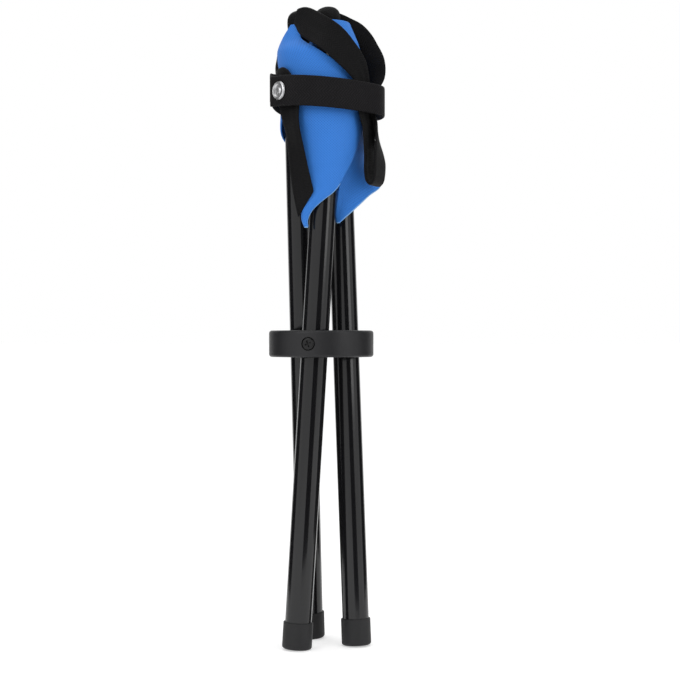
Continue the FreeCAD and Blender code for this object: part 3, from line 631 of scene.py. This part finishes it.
def seat_sector(name, towards, lead, swing, reach, far, rows, columns=13):
    """Sector of the seat, part of a shallow dish in the open stool and folded between the legs here."""
    aside = Vector((-towards.y, towards.x, 0.0))
    measure, outer, inner, marks = [], [], [], []
    for r in range(rows + 1):
        out = far * (SECTOR_START + (1 - SECTOR_START) * r / rows)
        half = seat_half(out, far)
        upper, lower, threads = [], [], []
        for c in range(columns + 1):
            side = half * (2 * c / columns - 1)
            spot = towards * out + aside * side
            dip = OPEN_HEIGHT + OPEN_RISE * (spot.length / OPEN_CORNER) ** 2
            for line, off in ((upper, 0.5), (lower, -0.5)):
                level = Vector((spot.x, spot.y, dip + off * SEAT_THICK))
                line.append(folded_spot(level, lead, swing, reach))
            threads.append((side, out))
        outer.append(upper)
        inner.append(lower)
        measure.append(threads)
    verts, faces, uvs = shell_parts(outer, inner, measure, 1)
    for face in faces:
        side = abs(sum(uvs[i][0] for i in face) / len(face))
        out = sum(uvs[i][1] for i in face) / len(face)
        marks.append(1 if edge_room(out, side, far) < BORDER else 0)
    obj = make_object(name, verts, faces, uvs, [BLUE, BLACK_WEB], marks, round_off=0)
    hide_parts("seat_panel")
    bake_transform(obj)
    return obj


def open_corner(index):
    """Level direction from the middle to a leg's end in the open stool."""
    end = leg_axis(index, LEG_ABOVE)
    lead = leg_lead(index)
    along = end.dot(lead)
    aside = Vector((end.x, end.y, 0.0)) - lead * along
    spot = aside + lead * (along * math.cos(LEG_SWING) + end.z * math.sin(LEG_SWING))
    return spot.normalized()


for index in range(3):
    corner, following = open_corner(index), open_corner((index + 1) % 3)
    leg, pair = LEGS[index], LEGS[index] + LEGS[(index + 1) % 3]
    seat_sector("seat_corner_" + leg, corner, leg_lead(index), LEG_SWING,
                               LEG_REACH, OPEN_CORNER, CORNER_ROWS)
    middle = (corner + following).normalized()
    seat_sector("seat_edge_" + pair, middle, middle, EDGE_SWING,
                               EDGE_REACH, EDGE_OUT, EDGE_ROWS)

# Wings of the folded seat: share of the drop, reach as a share of the room inside the flaps.
PANEL_ROWS = [(0, 0.42), (0.1, 0.7), (0.22, 0.97), (0.4, 0.97), (0.6, 0.72), (0.8, 0.53), (1, 0.42)]
PANEL_TOP = 20.0
PANEL_DROP = 150.0
PANEL_THICK = 5.0
PANEL_TAPER = 0.15
WING_SHARES = (0.0, 0.25, 0.5, 0.75, 1.0)
WING_ROOT = 2.2
WING_GAP = 1.0
WING_CREASE = (0.8, 14.0, 40.0)


def fold_parts():
    """Seat cloth hanging in three double wings between the legs."""
    verts, faces, uvs = [], [], []
    per_ring = 3 * 2 * len(WING_SHARES)
    for drop_share, reach in smooth(PANEL_ROWS, 4):
        height = CLOTH_TOP - PANEL_TOP - drop_share * PANEL_DROP
        half = PANEL_THICK * (0.5 - PANEL_TAPER * drop_share)
        root = WING_ROOT * half
        room = reach * (wrap(height) - WING_GAP)
        turn = leg_angle(0, height) + 60.0
        for wing in range(3):
            lead = turn + 120.0 * wing
            for side, run in ((-1.0, WING_SHARES), (1.0, WING_SHARES[::-1])):
                for share in run:
                    out = root + (room - root) * share
                    p = around(lead, out, height) + around(lead + 90.0, side * half, 0.0)
                    verts.append(p + around(lead + 90.0, share * crease(p, WING_CREASE, wing), 0.0))
                    uvs.append((out * side, drop_share * PANEL_DROP))
    rings = len(verts) // per_ring
    for r in range(rings - 1):
        for k in range(per_ring):
            m = (k + 1) % per_ring
            faces.append([r * per_ring + k, (r + 1) * per_ring + k, (r + 1) * per_ring + m, r * per_ring + m])
    faces.append(list(range(per_ring)))
    faces.append([(rings - 1) * per_ring + k for k in range(per_ring)][::-1])
    return verts, faces, uvs


seat_fold = make_object("seat_fold", *fold_parts(), [BLUE])
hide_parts("seat_panel")
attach(seat_fold, "hub")
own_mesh(seat_fold)


# Webbing

# Tape rows: angle, drop, stand-off, share of the width, pitch and yaw of the face.
LOOP = [(-50, 3, -10.5, 0.5, 0, 0), (-28, 7.5, -8.5, 0.9, 0, 0), (7, 21, 1.2, 1, 0, 0),
        (31, 35, 2.5, 1, 0, 0), (55, 49, 2.5, 1, 0, 0), (64, 63, 2.8, 1, 0, 0), (66, 80, 3.5, 1, 0, 0),
        (69, 92, 5.3, 1.04, 0, 0), (68, 104, 7, 1.02, 0, 0), (66, 118, 8, 0.9, 0, 0), (66, 130, 8, 0.9, 8, 0),
        (66, 138.5, 9.4, 0.9, 48, 0), (66, 142, 12.5, 0.9, 90, 0), (66, 138.5, 15.6, 0.9, 132, 0),
        (66, 130, 17, 0.9, 172, 0), (67, 118, 16.5, 0.9, 180, 0), (73, 104, 13.5, 0.9, 180, 6),
        (80, 94, 10, 0.85, 180, 14), (84, 82, 6.4, 0.76, 180, 22), (86, 67, 6.6, 0.68, 180, 48),
        (87, 58.5, 6.3, 0.66, 180, 56), (88, 49, 8.2, 0.76, 180, 66), (87, 38, 8, 0.72, 180, 70),
        (85.6, 27, 3.5, 0.62, 180, 78), (82.7, 19, -0.5, 0.55, 180, 84), (78.5, 12, -6.5, 0.5, 180, 90),
        (72, 8, -14, 0.5, 180, 95), (62, 4.5, -21, 0.5, 180, 102), (46, 3, -25, 0.45, 180, 112)]
# Place of the lowest row in the loop, where its two halves meet.
LOOP_TURN = 12
# The loop at the back follows the same rows a third of the way round, and lies closer where it stands off.
BACK_TURN = 120.0
BACK_SHARE = 0.75
BACK_FROM = 5.0
BACK_LOOP = [(100, 5, -14, 0.5, 0, 0), (113, 10, -8, 0.9, 0, 0)]
for angle, drop, off, share, pitch, yaw in LOOP[2:-3]:
    closer = off * BACK_SHARE if off > BACK_FROM else off
    BACK_LOOP.append((angle + BACK_TURN, drop, closer, share, pitch, yaw / 2))
FRONT_LOOP = [(-152, 5, -14, 0.5, 0, 0), (-144, 11, -7, 0.9, 0, 0), (-138, 24, 2.6, 1, 0, 0),
              (-127, 40, 3, 1, 0, 0), (-106, 54, 0.8, 1, 0, 0), (-80, 59, 0.4, 1, 0, 0),
              (-61, 56.5, 1.2, 0.95, 0, 0), (-51, 60, 1.2, 0.9, 0, 0), (-45, 77, 0.4, 0.95, 0, 0),
              (-37, 96, 3, 0.85, 0, -20), (-31, 118, 2.6, 0.82, 0, -18), (-26, 138, 1.6, 0.8, 0, -11),
              (-22, 152, 0.5, 0.76, 0, -4), (-20, 159, 0, 0.7, 0, 0)]
LOOP_STEPS = 6
FRONT_STEPS = 7
STRAP_STEPS = 8
BAND_WAVE = 17.0
# The front loop's end slants by this much to each side, over the last fifth of its length.
END_SLANT = 9.0
SLANT_FROM = 0.8
# Radius of a folded band's edge, as a share of its thickness.
FOLD_ROUND = 0.62


def band_parts(path, width, thick, steps, columns=9, wave=0.35, seed=0.0, slant=0.0):
    """Flat woven band along rows of (angle, radius, height, width share, pitch and yaw of the face)."""
    path = smooth(path, steps)
    spots = [around(row[0], row[1], row[2]) for row in path]
    up = Vector((0.0, 0.0, 1.0))
    grid = []
    for k, row in enumerate(path):
        ahead = (spots[min(k + 1, len(spots) - 1)] - spots[max(k - 1, 0)]).normalized()
        out = Vector((spots[k].x, spots[k].y, 0.0)).normalized()
        pitch, yaw = math.radians(row[4]), math.radians(row[5])
        level = out * math.cos(yaw) + up.cross(out) * math.sin(yaw)
        face = level * math.cos(pitch) + up * math.sin(pitch)
        across = ahead.cross(face).normalized()
        depth = ahead.cross(across)
        line = []
        for c in range(columns):
            s = 2 * c / (columns - 1) - 1
            skew = slant * s * ramp(k / len(path), SLANT_FROM, 1.0)
            p = spots[k] + across * (s * width * row[3] / 2) + ahead * skew
            line.append(p + depth * (wave * ripple(p, BAND_WAVE, seed)))
        grid.append(line)
    return sheet_parts(grid, thick, -1), grid


def band_object(name, path, width, thick, steps, mat, body, node, wave=0.35, seed=0.0, slant=0.0,
                round_start=False):
    """One band on its body; a round start is the fold where the band turns back on itself."""
    parts, grid = band_parts(path, width, thick, steps, wave=wave, seed=seed, slant=slant)
    if round_start:
        parts = joined(parts, bead_parts(grid[0], FOLD_ROUND * thick))[:3]
    obj = make_object(name, *parts, [mat])
    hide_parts(node)
    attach(obj, body)
    return obj


def tape_path(rows):
    """Band rows of a tape, which lies over the cloth."""
    path = []
    for angle, drop, off, share, pitch, yaw in rows:
        height = CLOTH_TOP - drop
        path.append((angle, wrap(height) + CLOTH + LAYER + TAPE_THICK / 2 + off, height, share, pitch, yaw))
    return path


for name, rows, ends in (("ca", LOOP, "ca"), ("ab", BACK_LOOP, "ab")):
    path = tape_path(rows)
    for half, piece in ((0, path[:LOOP_TURN + 1]), (1, path[LOOP_TURN:])):
        leg = ends[half]
        obj = band_object("edge_band_%s_%s" % (name, leg), piece, TAPE_WIDTH, TAPE_THICK, LOOP_STEPS,
                          BLACK_WEB, "leg_" + leg, "edge_tape_" + name,
                          seed=5.0 + half)
        draw_up(obj)
obj = band_object("edge_band_bc_c", tape_path(FRONT_LOOP), TAPE_WIDTH, TAPE_THICK, FRONT_STEPS, BLACK_WEB,
                  "leg_c", "edge_tape_bc", seed=8.0, slant=END_SLANT)
draw_up(obj)


def strap_height(angle):
    """Middle of the strap, which hangs lower on the right."""
    share = 0.5 + 0.5 * math.sin(math.radians(angle))
    return CLOTH_TOP - STRAP_DROP - share * STRAP_FALL


STRAP_BASE = wrap(CLOTH_TOP - STRAP_DROP) + CLOTH + 2 * LAYER + TAPE_THICK + STRAP_EASE + STRAP_THICK / 2
ROOM = SNAP_ROOM + STRAP_THICK


def flat_run(turn_by, off):
    """Stand-off that keeps the strap straight on both sides of the snap."""
    return (STRAP_BASE + off) / math.cos(math.radians(turn_by)) - STRAP_BASE


# Strap rows: angle and stand-off. The rear run starts at the fold, and the front run just short of it.
FOLD_ANGLE = 98.0
FOLD_ROOM = 13.0
FOLD_GAP = 0.9
FRONT_RUN = [(FOLD_ANGLE - FOLD_GAP, FOLD_ROOM), (80, 12.6), (62, 8), (45, 4.5), (25, 2.5), (0, 1.9),
             (-14, 2.6), (-26, 3.9)]
FRONT_RUN += [(SNAP_ANGLE + turn, flat_run(turn, ROOM)) for turn in (10, 5, 0, -5, -10, -15.5)]
REAR_RUN = [(FOLD_ANGLE, FOLD_ROOM), (115, 12.5), (135, 9.5), (155, 8.5), (175, 10), (195, 11.8),
            (212, 11.6), (232, 7.6), (250, 4.4), (272, 3)]
REAR_RUN += [(360 + SNAP_ANGLE + turn, flat_run(turn, 0)) for turn in (-22, -14, -7, 0, 7, 13)]
# Where the rear run is drawn up most, and over what breadth.
DRAW_ANGLE = 262.0
DRAW_BREADTH = 34.0


def strap_path(rows):
    """Strap rows; the run behind the snap is drawn up a little by the cloth under it."""
    path = []
    for angle, off in rows:
        drawn_up = STRAP_DRAW * math.exp(-((angle - DRAW_ANGLE) / DRAW_BREADTH) ** 2)
        path.append((angle, STRAP_BASE + off, strap_height(angle) + drawn_up, 1.0, 0.0, 0.0))
    return path


band_object("strap_band_front", strap_path(FRONT_RUN), STRAP_WIDTH, STRAP_THICK, STRAP_STEPS, BLACK_STRAP,
            "strap", "strap_front", wave=0.15, seed=11.0)
band_object("strap_band_rear", strap_path(REAR_RUN), STRAP_WIDTH, STRAP_THICK, STRAP_STEPS, BLACK_STRAP,
            "leg_c", "strap_rear", wave=0.15, seed=12.0, round_start=True)

# Rigid pieces keep their CAD shape.
FINISH = {"hub_ring": PLASTIC, "leg_tube": ENAMEL, "foot_cap": RUBBER, "top_plug": PLASTIC,
          "pivot_screw": BLACKED, "pivot_washer": ZINC, "lock_nut": ZINC, "snap_cap": BRIGHT,
          "snap_socket": BRIGHT, "snap_stud": BRIGHT, "snap_post": BRIGHT}
for node_name, node in frame["nodes"].items():
    for start, mat in FINISH.items():
        if node_name.startswith(start):
            node.data.materials.clear()
            node.data.materials.append(mat)

# Floor, light and camera

FLOOR_SIZE = 200.0
FLOOR_GLOW = 0.44
# The room's light grows with the height of the sky, from the low to the high value.
ROOM_LIGHT, TOP_LIGHT = 0.5, 0.85
SKY_LOW, SKY_HIGH = 0.3, 0.9
WHITE = (1.0, 1.0, 1.0, 1.0)
# Black cards round the stool, which only show as dark lines along the polished tubes.
CARDS = [(-132.0, -84.0), (2.0, 38.0), (90.0, 132.0)]
CARD_OUT = 500.0
CARD_TOP = 900.0
CARD_LIFT = 2.0
# Lamps: name, place and size in metres, power in watts.
LAMPS = [("key", (-1.1, -1.5, 1.3), (0.9, 1.2), 8.0), ("fill", (1.3, -1.2, 0.9), (0.8, 1.2), 6.5),
         ("top", (0.0, 0.2, 1.9), (1.2, 1.2), 6.0)]
LAMP_AIM = Vector((0.0, 0.0, 0.3))
# The camera looks level at the stool from its front, with its place in millimetres from the hub.
CAMERA_PLACE = Vector((15.6, -1300.0, 3.1))
VIEW_ANGLE = 24.6


def in_sight(tree):
    """1 for rays that show a surface itself: straight, mirrored or through glass."""
    sight = add_node(tree, "ShaderNodeLightPath").outputs
    mirrored = math_node(tree, "ADD", sight["Is Camera Ray"], sight["Is Glossy Ray"])
    return math_node(tree, "ADD", mirrored, sight["Is Transmission Ray"])


bpy.ops.mesh.primitive_plane_add(size=FLOOR_SIZE, location=(0, 0, 0))
floor = bpy.context.active_object
floor.name = "floor"
floor_mat, floor_tree, floor_bsdf = new_material("floor_pale", (0.8, 0.8, 0.8), 0.9, Emission_Color=WHITE)
glow = math_node(floor_tree, "MULTIPLY", in_sight(floor_tree), FLOOR_GLOW)
floor_tree.links.new(glow, floor_bsdf.inputs["Emission Strength"])
floor.data.materials.append(floor_mat)

world = bpy.data.worlds.new("studio")
bpy.context.scene.world = world
world.use_nodes = True
tree = world.node_tree
tree.nodes.clear()
spot = add_node(tree, "ShaderNodeTexCoord").outputs["Generated"]
height = add_node(tree, "ShaderNodeSeparateXYZ", {0: spot}).outputs[2]
level = add_node(tree, "ShaderNodeMapRange",
                 {0: height, 1: SKY_LOW, 2: SKY_HIGH, 3: ROOM_LIGHT, 4: TOP_LIGHT})
lit = add_node(tree, "ShaderNodeBackground", {"Color": WHITE, "Strength": level.outputs[0]})
seen = add_node(tree, "ShaderNodeBackground", {"Color": WHITE, "Strength": 1.0})
both = add_node(tree, "ShaderNodeMixShader", {0: in_sight(tree), 1: lit.outputs[0], 2: seen.outputs[0]})
add_node(tree, "ShaderNodeOutputWorld", {"Surface": both.outputs[0]})

card_mat = new_material("black_card", (0.01, 0.01, 0.01), 0.9)[0]
for number, (left, right) in enumerate(CARDS):
    low, high = -HUB.z / MM + CARD_LIFT, CARD_TOP
    edge = [around(left, CARD_OUT, low), around(right, CARD_OUT, low), around(right, CARD_OUT, high),
            around(left, CARD_OUT, high)]
    card = make_object("card_%d" % number, edge, [[0, 1, 2, 3]], [(0, 0)] * 4, [card_mat], round_off=0)
    card.visible_camera = False
    card.visible_diffuse = False
    card.visible_shadow = False

for name, place, size, power in LAMPS:
    data = bpy.data.lights.new(name, "AREA")
    data.energy = power
    data.shape = "RECTANGLE"
    data.size, data.size_y = size
    lamp = bpy.data.objects.new(name, data)
    lamp.location = place
    lamp.rotation_euler = (LAMP_AIM - Vector(place)).to_track_quat("-Z", "Y").to_euler()
    bpy.context.scene.collection.objects.link(lamp)

camera_data = bpy.data.cameras.new("camera")
camera_data.sensor_fit = "HORIZONTAL"
camera_data.angle = math.radians(VIEW_ANGLE)
camera = bpy.data.objects.new("camera", camera_data)
camera.location = HUB + CAMERA_PLACE * MM
camera.rotation_euler = (math.radians(90.0), 0.0, 0.0)
bpy.context.scene.collection.objects.link(camera)
bpy.context.scene.camera = camera
bpy.context.scene.view_settings.view_transform = "Standard"
